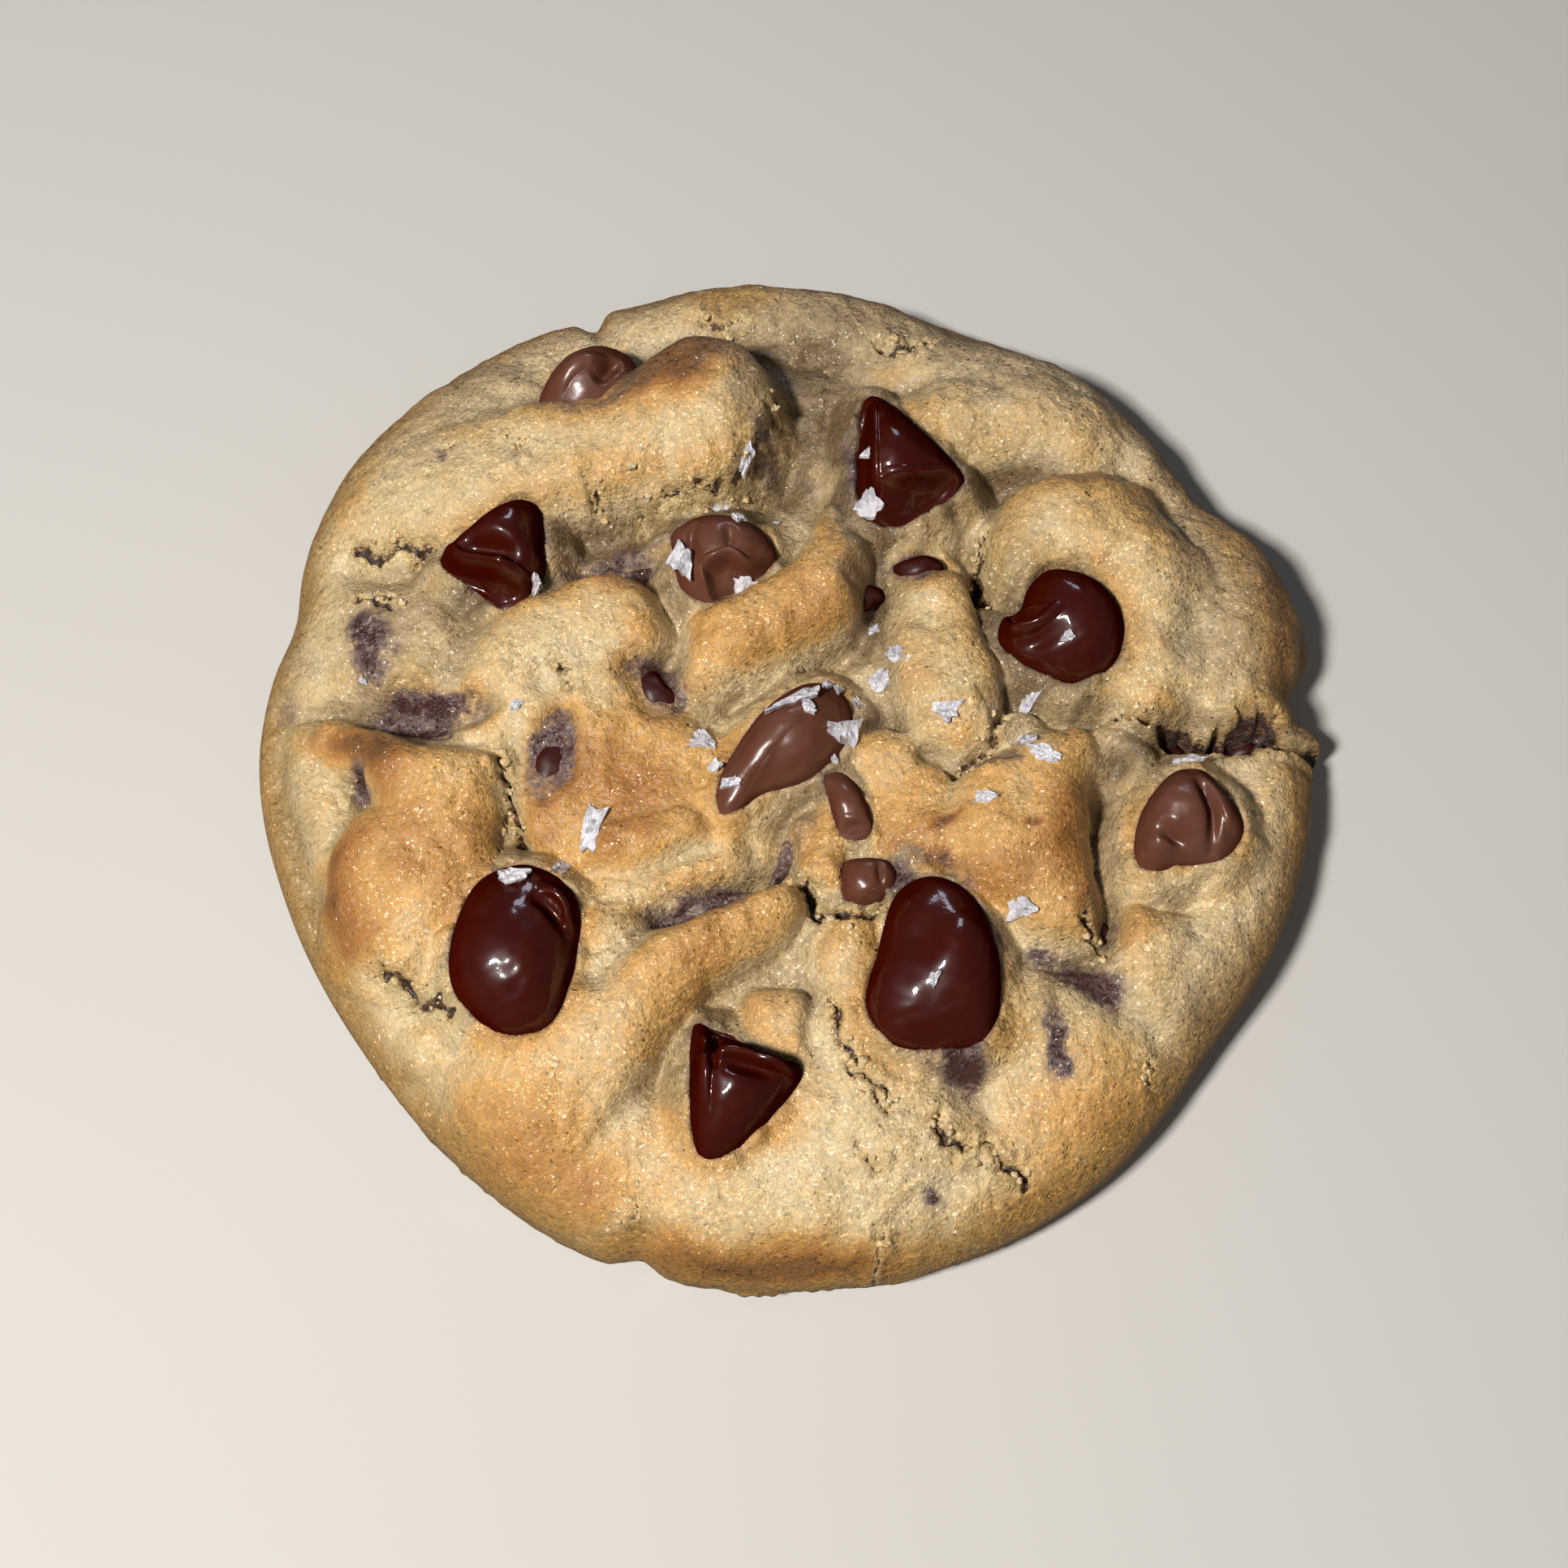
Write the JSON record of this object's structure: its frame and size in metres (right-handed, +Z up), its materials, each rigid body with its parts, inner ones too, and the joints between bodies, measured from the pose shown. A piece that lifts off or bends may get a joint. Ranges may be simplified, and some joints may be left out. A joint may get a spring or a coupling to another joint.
{
  "type": "chocolate chip cookie",
  "caption": "Thick round baked cookie with a lobed, cracked golden top, dark and milk chocolate chips sunk into it and flakes of salt lying on it; food that rests on its flat underside.",
  "frame": {"origin": "on the flat underside, below the middle of the cookie as seen from above", "axes": "+Z up through the thickness, +X to the right and +Y away from the viewer as in the picture"},
  "size_m": [0.0879, 0.0879, 0.02],
  "materials": {
    "baked_dough": "baked crust with browned high spots and a fine sugary glint",
    "dark_chocolate": "glossy set chocolate",
    "milk_chocolate": "satin set chocolate"
  },
  "bodies": {
    "root": {"chip_back_left": "milk_chocolate", "chip_left": "dark_chocolate", "chip_middle": "milk_chocolate", "chip_back_right": "dark_chocolate", "chip_right": "dark_chocolate", "chip_centre": "milk_chocolate", "chip_centre_small": "milk_chocolate", "chip_centre_square": "milk_chocolate", "chip_far_right": "milk_chocolate", "chip_left_large": "dark_chocolate", "chip_front_right": "dark_chocolate", "chip_front": "dark_chocolate", "morsel_left_slit": "dark_chocolate", "morsel_upper_slot": "dark_chocolate", "morsel_lower_slot": "dark_chocolate", "morsel_front_slit": "dark_chocolate", "morsel_valley": "dark_chocolate", "morsel_ridge_foot": "dark_chocolate", "morsel_centre_strip": "dark_chocolate", "morsel_valley_streak": "dark_chocolate", "morsel_right_gap": "dark_chocolate", "morsel_crack_inner": "dark_chocolate", "morsel_crack_outer": "dark_chocolate", "dough": "baked_dough"}
  },
  "joints": []
}
